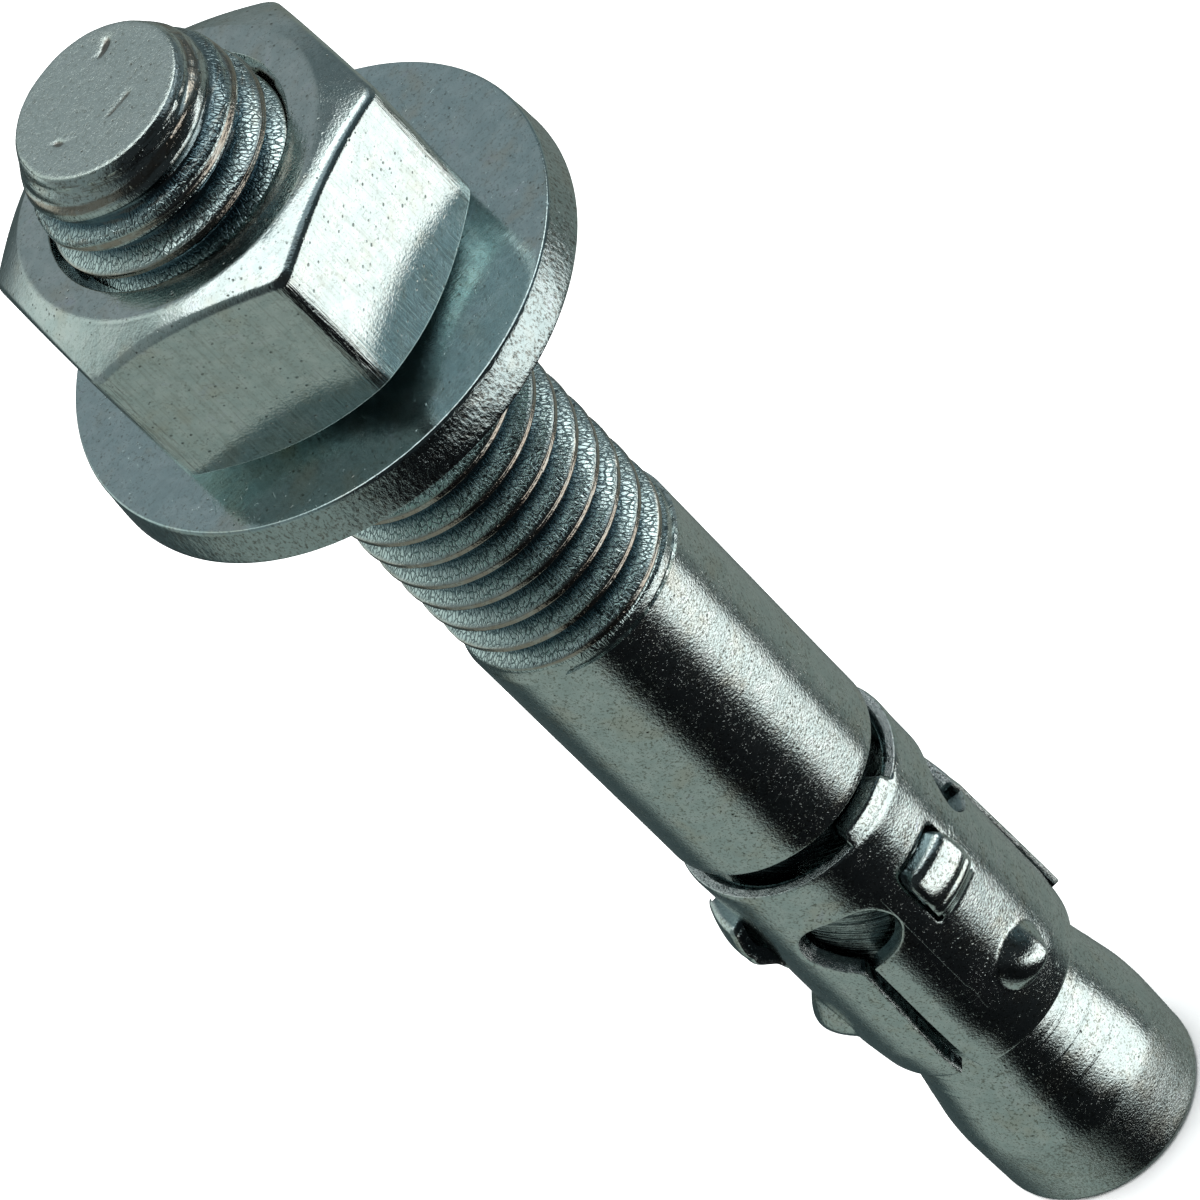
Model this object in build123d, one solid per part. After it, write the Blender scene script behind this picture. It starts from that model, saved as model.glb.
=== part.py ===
from build123d import *
import math
import os

# Wedge expansion anchor, 1/2 in - 13, millimetres.
# The axis is +Z. The blunt tip stands on z = 0 and the threaded end points up.
# Azimuths are in degrees from -Y towards +X (counter-clockwise seen from above).

# ---------------------------------------------------------------- anchor body
overall_length = 96.5          # tip to threaded end
shank_r = 6.35                 # plain shank
thread_major_r = 6.19          # crest radius of the rolled thread
thread_pitch = 1.9538          # 13 threads per inch, right hand
runout_low_z = 55.7            # plain shank below
runout_high_z = 57.6           # full thread above
thread_end_z = 91.6            # first full crest radius below the end taper
lead_r = 5.60                  # waist of the two-stage lead taper
lead_z = 94.4
end_face_r = 4.30              # flat end face
shoulder_z = 35.85             # underside of the shank, above the neck
shoulder_edge = 0.20           # rounded shoulder edge
neck_r = 5.20                  # reduced neck that carries the clip
cone_top_z = 13.9              # neck ends, expander cone starts
cone_low_r = 6.24              # end of the straight cone
cone_low_z = 7.2
tip_r = 6.45                   # blunt tip
tip_land_z = 4.6               # top of the tip's cylinder
tip_corner = 0.5               # rounded lower corner

# ---------------------------------------------------------------- washer
washer_od_r = 13.50
washer_bore_r = 7.00
washer_t = 2.40
washer_seat_z = 77.10          # underside
washer_shift_x = 0.62          # the washer hangs off centre by its bore clearance
washer_roll = 0.45             # rolled upper edge from stamping

# ---------------------------------------------------------------- nut
nut_af = 18.75                 # across flats
nut_h = 11.10
nut_gap = 0.02
nut_bore_r = 6.25              # running clearance over the thread crests
nut_mouth_r = 6.62             # countersunk mouths
nut_top_flat_r = 8.25
nut_top_slope = 0.33           # rise per mm of radius
nut_low_flat_r = 8.20
nut_low_slope = 0.684
nut_corner = 0.40              # rounded vertical corners
nut_clock = 1.0                # azimuth of one corner

# ---------------------------------------------------------------- clip
clip_low_z = 14.30
clip_top_z = 33.85
clip_out_r = 6.55
clip_in_r = 5.58
clip_toe_out_r = 6.33          # finger ends lean in
clip_toe_in_r = 5.38
clip_toe_z = 16.6
finger_az = [22.5, 142.5, -96.0]     # middle of each finger
slit_az = [-34.5, 86.0, -155.0]      # slits between the fingers
slit_w = 0.95
eye_az = [-31.25, 83.5, -155.0]      # rounded opening at the head of each slit
eye_half_w = 2.87
eye_half_h = 2.35
eye_z = 27.85
seam_az = -155.0               # the strip's two ends meet here
seam_w = 0.50
nib_az = [3.0, 40.0]           # stub of the carrier strip left on the collar's upper edge
nib_top_z = 34.75
nib_low_r = 6.50
nib_high_r = 6.34
window_half_deg = 16.25        # window that each tab is lanced from
window_low_z = 25.4
window_top_z = 30.1
tab_half_deg = 12.4
dimple_z = 18.8
dimple_dome_r = 2.28
dimple_hollow_r = 1.42
dimple_centre_r = 5.22


def rad(az):
    """Unit direction of an azimuth."""
    a = math.radians(az)
    return math.sin(a), -math.cos(a)


def revolve_rz(points, arc=360.0, az_mid=0.0):
    """Revolve a closed (r, z) outline about Z, the arc centred on az_mid."""
    pts = [(r, 0, z) for r, z in points]
    face = make_face(Polyline(*pts, close=True))
    solid = revolve(face, axis=Axis.Z, revolution_arc=arc)
    if arc < 360.0:
        solid = Rot(0, 0, az_mid - 90.0 - arc / 2.0) * solid
    return solid


def arc_rz(cr, cz, radius, a0, a1, n):
    """Points on an arc in the (r, z) plane."""
    out = []
    for i in range(n + 1):
        a = math.radians(a0 + (a1 - a0) * i / n)
        out.append((cr + radius * math.cos(a), cz + radius * math.sin(a)))
    return out


# ================================================================ anchor body
def make_body():
    with BuildPart() as bp:
        with BuildSketch(Plane.XZ):
            with BuildLine():
                c = tip_corner
                Line((0, 0), (tip_r - c, 0))
                RadiusArc((tip_r - c, 0), (tip_r, c), -c)
                Line((tip_r, c), (tip_r, tip_land_z))
                # the cone blends into the tip's cylinder over a soft curve
                Spline((tip_r, tip_land_z), (6.39, 6.0), (cone_low_r, cone_low_z),
                       tangents=[(0, 1), (-0.155, 1)])
                Line((cone_low_r, cone_low_z), (neck_r, cone_top_z))
                Line((neck_r, cone_top_z), (neck_r, shoulder_z))
                Line((neck_r, shoulder_z), (shank_r - shoulder_edge, shoulder_z))
                RadiusArc((shank_r - shoulder_edge, shoulder_z),
                          (shank_r, shoulder_z + shoulder_edge), -shoulder_edge)
                Line((shank_r, shoulder_z + shoulder_edge), (shank_r, runout_low_z))
                Line((shank_r, runout_low_z), (thread_major_r, runout_high_z))
                Line((thread_major_r, runout_high_z), (thread_major_r, thread_end_z))
                Line((thread_major_r, thread_end_z), (lead_r, lead_z))
                Line((lead_r, lead_z), (end_face_r + 0.15, overall_length - 0.25))
                Line((end_face_r + 0.15, overall_length - 0.25), (end_face_r, overall_length))
                Line((end_face_r, overall_length), (0, overall_length))
                Line((0, overall_length), (0, 0))
            make_face()
        revolve(axis=Axis.Z)
    return bp.part


# ================================================================ washer
def make_washer():
    z0, z1 = washer_seat_z, washer_seat_z + washer_t
    k = washer_roll
    outline = [(washer_bore_r, z0 + 0.15), (washer_bore_r + 0.15, z0), (washer_od_r, z0),
               (washer_od_r, z1 - k)]
    outline += arc_rz(washer_od_r - k, z1 - k, k, 15, 90, 5)
    outline += [(washer_bore_r + 0.3, z1), (washer_bore_r, z1 - 0.3)]
    return Pos(washer_shift_x, 0, 0) * revolve_rz(outline)


# ================================================================ nut
def make_nut():
    z0 = washer_seat_z + washer_t + nut_gap
    z1 = z0 + nut_h
    rv = nut_af / 2 / math.cos(math.pi / 6)
    pts = []
    for k in range(6):
        x, y = rad(nut_clock + 60 * k)
        pts.append((rv * x, rv * y))
    sk = make_face(Polyline(*pts, close=True))
    prism = Pos(0, 0, z0) * extrude(sk, amount=nut_h)
    prism = fillet(prism.edges().filter_by(Axis.Z), nut_corner)
    big = rv + 1.0
    turned = revolve_rz([(0, z0), (nut_low_flat_r, z0),
                         (big, z0 + (big - nut_low_flat_r) * nut_low_slope),
                         (big, z1 - (big - nut_top_flat_r) * nut_top_slope),
                         (nut_top_flat_r, z1), (0, z1)])
    nut = prism & turned
    m = nut_mouth_r - nut_bore_r
    bore = revolve_rz([(0, z0 - 1), (nut_mouth_r + 1, z0 - 1), (nut_bore_r, z0 + m),
                       (nut_bore_r, z1 - m), (nut_mouth_r + 1, z1 + 1), (0, z1 + 1)])
    return nut - bore


# ================================================================ expansion clip
def make_clip():
    ring = revolve_rz([(clip_toe_in_r, clip_low_z), (clip_toe_out_r, clip_low_z),
                       (clip_out_r, clip_toe_z), (clip_out_r, clip_top_z),
                       (clip_in_r, clip_top_z), (clip_in_r, clip_toe_z + 0.2)])
    # lanced windows
    for az in finger_az:
        ring -= revolve_rz([(4.6, window_low_z), (8.2, window_low_z),
                            (8.2, window_top_z), (4.6, window_top_z)],
                           arc=2 * window_half_deg, az_mid=az)
    # tabs: rooted at the lower edge of the window, bulged out, free on three sides
    ring += revolve_rz([(clip_in_r + 0.04, clip_top_z - 0.3), (nib_low_r, clip_top_z - 0.3),
                        (nib_low_r, clip_top_z), (nib_high_r, nib_top_z),
                        (clip_in_r + 0.04, nib_top_z)],
                       arc=nib_az[1] - nib_az[0], az_mid=(nib_az[0] + nib_az[1]) / 2)
    outer = [(6.55, 25.0), (6.62, 25.35), (6.85, 25.85), (7.30, 26.55), (7.58, 27.1),
             (7.72, 27.7), (7.72, 28.3), (7.60, 29.0), (7.35, 29.8)]
    inner = [(6.47, 29.8), (6.72, 28.9), (6.83, 28.2), (6.80, 27.75), (6.62, 27.3),
             (6.32, 26.75), (5.95, 26.1), (5.66, 25.5), (5.60, 25.0)]
    for az in finger_az:
        ring += revolve_rz(outer + inner, arc=2 * tab_half_deg, az_mid=az)
    # pressed dimples near the finger ends
    for az in finger_az:
        x, y = rad(az)
        c = Pos(x * dimple_centre_r, y * dimple_centre_r, dimple_z)
        ring += c * Sphere(dimple_dome_r) - Cylinder(6.1, 80)
        ring -= c * Sphere(dimple_hollow_r)
    # slits, the rounded openings at their heads, and the seam
    for az in slit_az:
        box = Box(slit_w, 6.0, eye_z - clip_low_z + 2.0)
        ring -= Rot(0, 0, az) * Pos(0, -6.5, (eye_z + clip_low_z - 2.0) / 2) * box
    for az in eye_az:
        cut = extrude(Plane.XZ.offset(3.5) * Ellipse(eye_half_w, eye_half_h), amount=6.0)
        ring -= Rot(0, 0, az) * Pos(0, 0, eye_z) * cut
    seam = Box(seam_w, 6.0, clip_top_z - eye_z + 2.0)
    ring -= Rot(0, 0, seam_az) * Pos(0, -6.5, (clip_top_z + eye_z + 2.0) / 2) * seam
    return ring


os.makedirs("parts", exist_ok=True)
nodes = {
    "anchor_body": make_body(),
    "flat_washer": make_washer(),
    "hex_nut": make_nut(),
    "expansion_clip": make_clip(),
}
for name, shape in nodes.items():
    solids = shape.solids()
    print(name, len(solids), "solid(s)", [round(s.volume, 2) for s in solids])
    export_step(solids[0] if len(solids) == 1 else Compound(children=list(solids)),
                "parts/" + name + ".step")
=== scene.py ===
import math

import bpy
import numpy as np
from mathutils import Matrix, Vector
from mathutils.geometry import delaunay_2d_cdt


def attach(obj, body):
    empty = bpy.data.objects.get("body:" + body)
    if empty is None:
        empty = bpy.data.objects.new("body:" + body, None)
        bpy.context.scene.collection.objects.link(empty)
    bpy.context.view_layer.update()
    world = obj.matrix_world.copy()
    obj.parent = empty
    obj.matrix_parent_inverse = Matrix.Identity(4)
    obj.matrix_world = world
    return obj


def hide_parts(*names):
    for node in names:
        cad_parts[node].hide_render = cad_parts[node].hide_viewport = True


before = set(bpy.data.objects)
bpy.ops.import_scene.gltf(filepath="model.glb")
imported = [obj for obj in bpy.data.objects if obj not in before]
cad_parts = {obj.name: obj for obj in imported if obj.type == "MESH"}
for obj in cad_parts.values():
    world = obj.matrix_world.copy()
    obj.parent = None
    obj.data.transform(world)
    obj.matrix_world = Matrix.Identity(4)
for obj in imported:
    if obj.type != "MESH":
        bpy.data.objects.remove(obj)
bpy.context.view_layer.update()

# Shapes are worked out in millimetres and written to the meshes in metres.
# Azimuth is in degrees from -Y towards +X.
MM = 0.001
PITCH = 1.9538
CREST_Z = 67.98          # a thread crest at azimuth 0


# ---------------------------------------------------------------- numbers

_rng = np.random.default_rng(11)
_tab = _rng.random((32, 32, 32)) * 2.0 - 1.0


def noise3(x, y, z, size):
    """Smooth lattice noise, -1 to 1, with cells of the given size."""
    p = np.stack(np.broadcast_arrays(x, y, z), -1).astype(float) / size
    i = np.floor(p).astype(int)
    f = p - i
    f = f * f * (3 - 2 * f)
    out = 0.0
    for dx in (0, 1):
        for dy in (0, 1):
            for dz in (0, 1):
                w = ((f[..., 0] if dx else 1 - f[..., 0])
                     * (f[..., 1] if dy else 1 - f[..., 1])
                     * (f[..., 2] if dz else 1 - f[..., 2]))
                out = out + w * _tab[(i[..., 0] + dx) & 31, (i[..., 1] + dy) & 31,
                                     (i[..., 2] + dz) & 31]
    return out


def ring_noise(az, z, size, z_size=None, radius=6.3, seed=0.0):
    a = np.radians(az)
    zz = np.asarray(z, float) * (size / (z_size or size))
    return noise3(radius * np.sin(a) + 40 + seed, radius * np.cos(a) + 40, zz + 90 + seed, size)


def sstep(x, a, b):
    t = np.clip((np.asarray(x, float) - a) / (b - a), 0, 1)
    return t * t * (3 - 2 * t)


def cyl(az, r, z, shift=0.0):
    a = np.radians(az)
    return np.stack(np.broadcast_arrays(r * np.sin(a) + shift, -r * np.cos(a), z), -1)


def smin(a, b, k):
    h = np.clip(0.5 + 0.5 * (b - a) / k, 0, 1)
    return b * (1 - h) + a * h - k * h * (1 - h)


# ---------------------------------------------------------------- meshes

def grid_faces(rows, cols, start=0):
    i, j = np.meshgrid(np.arange(rows - 1), np.arange(cols - 1), indexing="ij")
    a = start + i * cols + j
    return np.stack([a, a + 1, a + cols + 1, a + cols], -1).reshape(-1, 4)


def weld(verts, faces, layers, digits=6):
    """Merge vertices at one place, and drop what that collapses."""
    key = np.round(verts, digits) + 0.0
    _, first, inverse = np.unique(key, axis=0, return_index=True, return_inverse=True)
    inverse = inverse.reshape(-1)
    out = []
    for f in faces:
        ids = []
        for v in f:
            n = int(inverse[v])
            if not ids or ids[-1] != n:
                ids.append(n)
        if len(ids) > 1 and ids[0] == ids[-1]:
            ids.pop()
        if len(ids) >= 3 and len(set(ids)) == len(ids):
            out.append(ids)
    return verts[first], out, {k: v[first] for k, v in layers.items()}


def make_piece(name, verts, faces, layers, material, body, node, sharp=38.0):
    verts, faces, layers = weld(np.asarray(verts, float), faces, layers)
    me = bpy.data.meshes.new(name)
    me.from_pydata((verts * MM).tolist(), [], faces)
    me.validate()
    for key, values in layers.items():
        at = me.attributes.new(key, "FLOAT", "POINT")
        at.data.foreach_set("value", np.asarray(values, np.float32))
    me.shade_smooth()
    me.set_sharp_from_angle(angle=math.radians(sharp))
    me.materials.append(material)
    me.update()
    ob = bpy.data.objects.new(name, me)
    bpy.context.scene.collection.objects.link(ob)
    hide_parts(node)
    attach(ob, body)
    return ob


# ---------------------------------------------------------------- node trees

class Nodes:
    """A short way to write a material's node tree."""

    def __init__(self, tree):
        self.tree = tree
        self.tree.nodes.clear()

    def new(self, kind, **props):
        n = self.tree.nodes.new(kind)
        for k, v in props.items():
            setattr(n, k, v)
        return n

    def put(self, socket, value):
        if isinstance(value, bpy.types.NodeSocket):
            self.tree.links.new(value, socket)
        else:
            socket.default_value = value

    def math(self, op, a, b=0.0, c=0.0, clamp=False):
        n = self.new("ShaderNodeMath", operation=op, use_clamp=clamp)
        self.put(n.inputs[0], a)
        self.put(n.inputs[1], b)
        self.put(n.inputs[2], c)
        return n.outputs[0]

    def add(self, *terms):
        out = terms[0]
        for t in terms[1:]:
            out = self.math("ADD", out, t)
        return out

    def mul(self, *terms):
        out = terms[0]
        for t in terms[1:]:
            out = self.math("MULTIPLY", out, t)
        return out

    def vec(self, op, a, b=None, scale=None):
        n = self.new("ShaderNodeVectorMath", operation=op)
        self.put(n.inputs[0], a)
        if b is not None:
            self.put(n.inputs[1], b)
        if scale is not None:
            self.put(n.inputs["Scale"], scale)
        return n.outputs[0]

    def xyz(self, v):
        n = self.new("ShaderNodeSeparateXYZ")
        self.put(n.inputs[0], v)
        return n.outputs

    def comb(self, x, y, z):
        n = self.new("ShaderNodeCombineXYZ")
        for s, v in zip(n.inputs, (x, y, z)):
            self.put(s, v)
        return n.outputs[0]

    def step(self, x, a, b, lo=0.0, hi=1.0):
        n = self.new("ShaderNodeMapRange", interpolation_type="SMOOTHSTEP")
        for s, v in zip(n.inputs[:5], (x, a, b, lo, hi)):
            self.put(s, v)
        return n.outputs[0]

    def noise(self, v, scale, detail=2.0, rough=0.5, kind="FBM", lac=2.0, distortion=0.0):
        n = self.new("ShaderNodeTexNoise", noise_dimensions="3D")
        self.put(n.inputs["Vector"], v)
        n.inputs["Scale"].default_value = scale
        n.inputs["Detail"].default_value = detail
        n.inputs["Roughness"].default_value = rough
        n.inputs["Lacunarity"].default_value = lac
        n.inputs["Distortion"].default_value = distortion
        return n.outputs[0]

    def cells(self, v, scale, feature="F1", rand=1.0):
        n = self.new("ShaderNodeTexVoronoi", feature=feature, voronoi_dimensions="3D")
        self.put(n.inputs["Vector"], v)
        n.inputs["Scale"].default_value = scale
        n.inputs["Randomness"].default_value = rand
        return n.outputs

    def layer(self, name):
        n = self.new("ShaderNodeAttribute", attribute_type="GEOMETRY", attribute_name=name)
        return n.outputs["Fac"]

    def mix(self, fac, a, b, blend="MIX"):
        n = self.new("ShaderNodeMix", data_type="RGBA", blend_type=blend)
        self.put(n.inputs["Factor"], fac)
        cols = [s for s in n.inputs if s.type == "RGBA"]
        for s, v in zip(cols, (a, b)):
            self.put(s, v if isinstance(v, bpy.types.NodeSocket) else (*v, 1.0))
        return [s for s in n.outputs if s.type == "RGBA"][0]


def zinc(name, speckle=0.010, wave=0.010, pits=0.014, scratch=0.004, stain=1.0,
         tint=(1.0, 1.0, 1.0), dull=1.0, dusty=1.0, gloss=0.095, extra=None):
    """Clear zinc plate over steel: cool grey metal with fine speckle, dark pits,
    faint brown and violet stains and shallow waves. extra() adds a piece's own detail."""
    mat = bpy.data.materials.new(name)
    mat.use_nodes = True
    n = Nodes(mat.node_tree)
    co = n.new("ShaderNodeTexCoord").outputs["Object"]
    p = n.vec("SCALE", co, scale=1000.0)
    x, y, z = n.xyz(p)

    fine = n.noise(p, 7.0, 2.0, 0.6)
    mid = n.noise(p, 1.6, 2.0, 0.55)
    broad = n.noise(p, 0.42, 3.0, 0.6)
    film = n.noise(n.vec("ADD", p, (31.0, 7.0, 12.0)), 0.85, 4.0, 0.65, distortion=0.6)
    spot = n.cells(p, 3.0)
    spot_id = n.xyz(spot["Color"])
    pit = n.mul(n.step(spot["Distance"], n.add(0.12, n.mul(spot_id[1], 0.22)), 0.06),
                n.step(spot_id[0], 0.56, 0.62), n.step(broad, 0.30, 0.55))
    grain = n.noise(n.vec("ADD", p, (3.0, 51.0, 17.0)), 5.4, 2.0, 0.7)
    dust = n.mul(n.step(grain, 0.555, 0.62), n.step(broad, 0.25, 0.60, 0.35, 1.0), dusty)
    # dull corroded specks: dark where the metal is bright, pale where it is dark
    speck = n.noise(n.vec("ADD", p, (9.0, 4.0, 2.0)), 8.0, 1.0, 0.5)
    speck = n.mul(n.step(speck, 0.635, 0.69), n.step(film, 0.34, 0.62, 0.35, 1.0), dull)

    # a few shallow handling scratches, slanting both ways
    turned = n.new("ShaderNodeVectorRotate", rotation_type="EULER_XYZ")
    n.put(turned.inputs["Vector"], p)
    turned.inputs["Rotation"].default_value = (0.5, 0.9, 0.3)
    s1 = n.noise(n.vec("MULTIPLY", turned.outputs[0], (4.0, 0.22, 4.0)), 1.2, 1.0, 0.4)
    s2 = n.noise(n.vec("MULTIPLY", turned.outputs[0], (0.25, 3.6, 3.0)), 1.2, 1.0, 0.4)
    lines = n.mul(n.add(n.step(s1, 0.70, 0.76), n.step(s2, 0.70, 0.76)), n.step(mid, 0.42, 0.6))

    height = n.add(n.mul(fine, speckle), n.mul(mid, wave), n.mul(pit, -pits), n.mul(speck, -0.004),
                   n.mul(lines, -scratch * 0.5))

    cool = tuple(c * t for c, t in zip((0.61, 0.70, 0.69), tint))
    pale = tuple(c * t for c, t in zip((0.73, 0.79, 0.77), tint))
    col = n.mix(n.step(film, 0.35, 0.68), cool, pale)
    col = n.mix(n.mul(n.step(mid, 0.60, 0.36), 0.28), col, tuple(0.74 * c for c in cool))
    col = n.mix(n.mul(n.step(broad, 0.52, 0.72), 0.42 * stain), col, (0.64, 0.59, 0.48))
    col = n.mix(n.mul(n.step(film, 0.58, 0.78), 0.38 * stain), col, (0.58, 0.62, 0.76))
    col = n.mix(n.mul(dust, 0.74 * stain), col, (0.20, 0.21, 0.17))
    col = n.mix(n.mul(speck, 0.60), col, (0.31, 0.30, 0.26))
    col = n.mix(n.mul(pit, 0.80), col, (0.09, 0.09, 0.07))
    rough = n.add(n.step(film, 0.30, 0.75, gloss, gloss + 0.035), n.mul(dust, 0.03),
                  n.mul(speck, 0.19), n.mul(pit, 0.10))

    if extra:
        height, col, rough = extra(n, dict(p=p, x=x, y=y, z=z, fine=fine, mid=mid, broad=broad,
                                           film=film, pit=pit, height=height, col=col,
                                           rough=rough))

    bump = n.new("ShaderNodeBump")
    bump.inputs["Strength"].default_value = 1.0
    bump.inputs["Distance"].default_value = MM
    n.put(bump.inputs["Height"], height)
    bsdf = n.new("ShaderNodeBsdfPrincipled")
    bsdf.inputs["Metallic"].default_value = 1.0
    n.put(bsdf.inputs["Base Color"], col)
    n.put(bsdf.inputs["Roughness"], rough)
    n.put(bsdf.inputs["Normal"], bump.outputs[0])
    out = n.new("ShaderNodeOutputMaterial")
    n.put(out.inputs["Surface"], bsdf.outputs[0])
    return mat


# ---------------------------------------------------------------- anchor body

def thread_phase(az, z):
    """Height above the nearest crest centre, in mm, from -pitch/2 to pitch/2."""
    t = (z - CREST_Z) / PITCH - az / 360.0
    return (t - np.round(t)) * PITCH


def thread_drop(h):
    """How far the thread's surface lies inside the crest radius."""
    return smin(np.maximum((np.abs(h) - 0.14) * 1.732, 0.0), 1.09, 0.34)


def body_envelope(z):
    zs = [35.85, 55.72, 55.83, 55.92, 56.02, 56.2, 57.4, 91.3, 92.2, 93.4, 94.4, 95.2, 95.9,
          96.2, 96.36, 96.44, 96.5]
    rs = [6.35, 6.35, 6.335, 6.27, 6.20, 6.19, 6.19, 6.19, 6.09, 5.87, 5.58, 5.13, 4.74,
          4.58, 4.48, 4.38, 4.28]
    return np.interp(z, zs, rs)


def body_radius(az, z):
    env = body_envelope(z)
    h = thread_phase(az, z)
    depth = sstep(z, 55.82, 56.45)
    ragged = ring_noise(az, z, 0.9, seed=3)
    thread = 6.19 - depth * thread_drop(h) + 0.008 * ragged * depth
    # the rolled crest closes over a fine seam, deeper towards the end
    seam = np.exp(-(h / 0.055) ** 2) * (0.025 + 0.10 * sstep(z, 90.0, 93.5))
    thread = thread - seam * depth * (0.6 + 0.4 * ring_noise(az, z, 1.3, seed=9))
    r = smin(thread, env, 0.06)
    # ridges and laps where the blank's end was drawn in by the dies
    lead = sstep(z, 90.9, 92.4) * (1 - sstep(z, 96.05, 96.35))
    ridge = (ring_noise(az, z, 6.0, 0.22, seed=21) * 0.085
             + ring_noise(az, z, 3.0, 0.42, seed=27) * 0.100
             + ring_noise(az, z, 0.8, 0.30, seed=33) * 0.020)
    return r + lead * (ridge - 0.07)


def make_body(material):
    n_col = 144
    az = np.arange(n_col + 1) * 360.0 / n_col
    verts, faces, crest, flank, root, nicks = [], [], [], [], [], []

    def emit(V, cr, fl, ro=0.0, nk=0.0):
        start = sum(len(v) for v in verts)
        rows = V.shape[0]
        verts.append(V.reshape(-1, 3))
        crest.append(np.broadcast_to(cr, V.shape[:2]).reshape(-1))
        flank.append(np.broadcast_to(fl, V.shape[:2]).reshape(-1))
        root.append(np.broadcast_to(ro, V.shape[:2]).reshape(-1))
        nicks.append(np.broadcast_to(nk, V.shape[:2]).reshape(-1))
        faces.append(grid_faces(rows, n_col + 1, start))

    # tip, cone, neck and plain shank
    prof = [(0.0, 0.0), (1.5, 0.0), (3.0, 0.0), (4.3, 0.0), (5.2, 0.0), (5.7, 0.0), (5.88, 0.006)]
    for k in range(0, 7):
        a = math.radians(-84 + 84 * k / 6)
        prof.append((5.88 + 0.5 * math.cos(a), 0.5 + 0.5 * math.sin(a)))
    prof += [(6.385, 1.0), (6.40, 1.6), (6.418, 2.4), (6.433, 3.2), (6.447, 4.0), (6.449, 4.6),
             (6.437, 5.0), (6.42, 5.4), (6.398, 5.8), (6.365, 6.2), (6.325, 6.6),
             (6.285, 6.9), (6.24, 7.2)]
    for z in np.arange(7.5, 13.6, 0.3):
        prof.append((6.24 - (z - 7.2) * (6.24 - 5.2) / 6.7, float(z)))
    for zg in (8.7, 10.7, 12.2, 12.62):
        rg = 6.24 - (zg - 7.2) * (6.24 - 5.2) / 6.7
        prof += [(rg, zg - 0.07), (rg - 0.005, zg), (rg, zg + 0.07)]
    prof = sorted(prof, key=lambda q: (q[1], q[0]))
    prof += [(5.215, 13.8), (5.2, 13.95), (5.2, 14.3)]
    for z in np.arange(15.0, 35.2, 0.6):
        prof.append((5.2, float(z)))
    prof += [(5.2, 35.45), (5.21, 35.7), (5.26, 35.81), (5.40, 35.85), (5.8, 35.85), (6.1, 35.85)]
    for k in range(0, 5):
        a = math.radians(-90 + 90 * k / 4)
        prof.append((6.15 + 0.2 * math.cos(a), 36.05 + 0.2 * math.sin(a)))
    for z in np.arange(36.6, 55.0, 0.7):
        prof.append((6.35, float(z)))
    prof.append((6.35, 55.2))
    pr = np.array(prof)
    R, Z = pr[:, 0][:, None], pr[:, 1][:, None]
    A = np.broadcast_to(az[None, :], (len(pr), n_col + 1))
    forge = (1 - sstep(Z, 4.8, 6.3)) * sstep(R, 4.0, 5.9)
    dr = forge * (0.010 * ring_noise(A, Z, 1.1, seed=5) + 0.006 * ring_noise(A, Z, 0.5, seed=6) - 0.014)
    dr = dr + sstep(Z, 36.2, 37.0) * (1 - sstep(Z, 54.6, 55.2)) * (
        0.006 * ring_noise(A, Z, 3.2, seed=8) - 0.004)
    emit(cyl(A, R + dr, np.broadcast_to(Z, A.shape)), 0.0, 0.0)

    # thread: the rows follow the helix, so every crest and root is a clean line
    hs = [-0.90, -0.81, -0.69, -0.54, -0.39, -0.26, -0.18, -0.13, -0.06, 0.0, 0.06, 0.13,
          0.18, 0.26, 0.39, 0.54, 0.69, 0.81, 0.90, PITCH / 2]
    z_lo, z_hi = 55.2, 96.1
    rows = []
    for k in range(-9, 17):
        for h in hs:
            rows.append(CREST_Z + k * PITCH + h)
    # where the thread runs out the rows are close, since its edge is square to the axis
    dense = np.arange(z_lo - 1.02 * PITCH, 57.1, 0.055)
    dense = dense[(dense < z_lo - 0.9 * PITCH) | (dense > 54.0)]
    rows = np.array(sorted([z for z in rows if 57.1 < z < z_hi + 0.02 * PITCH] + dense.tolist()))
    Zt = rows[:, None] + az[None, :] * PITCH / 360.0
    At = np.broadcast_to(az[None, :], Zt.shape)
    Zt = np.clip(Zt, z_lo, z_hi)
    keep = ~((np.ptp(Zt, axis=1) == 0))
    first, last = int(np.argmax(keep)), len(keep) - int(np.argmax(keep[::-1]))
    Zt, At = Zt[max(first - 1, 0):last + 1], At[max(first - 1, 0):last + 1]
    Rt = body_radius(At, Zt)
    ends = (Zt <= z_lo)
    Rt = np.where(ends, 6.35, Rt)
    top_r = body_envelope(z_hi)
    Rt = np.where(Zt >= z_hi, top_r, Rt)
    H = thread_phase(At, Zt)
    depth = sstep(Zt, 56.0, 56.12) * (1 - sstep(Zt, 94.0, 95.2))
    cr = sstep(np.abs(H), 0.22, 0.12) * sstep(Zt, 55.90, 56.1)
    fl = sstep(np.abs(H), 0.16, 0.24) * sstep(np.abs(H), 0.86, 0.66) * depth
    # root band, darkened below as painted shade in the thread grooves
    ro = sstep(np.abs(H), 0.40, 0.68) * depth
    band = sstep(Zt, 55.80, 55.86) * (1 - sstep(Zt, 56.15, 56.35)) * (1 - cr)
    fl = np.maximum(fl, 0.9 * band)
    emit(cyl(At, Rt, Zt), cr, fl, ro)

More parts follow.
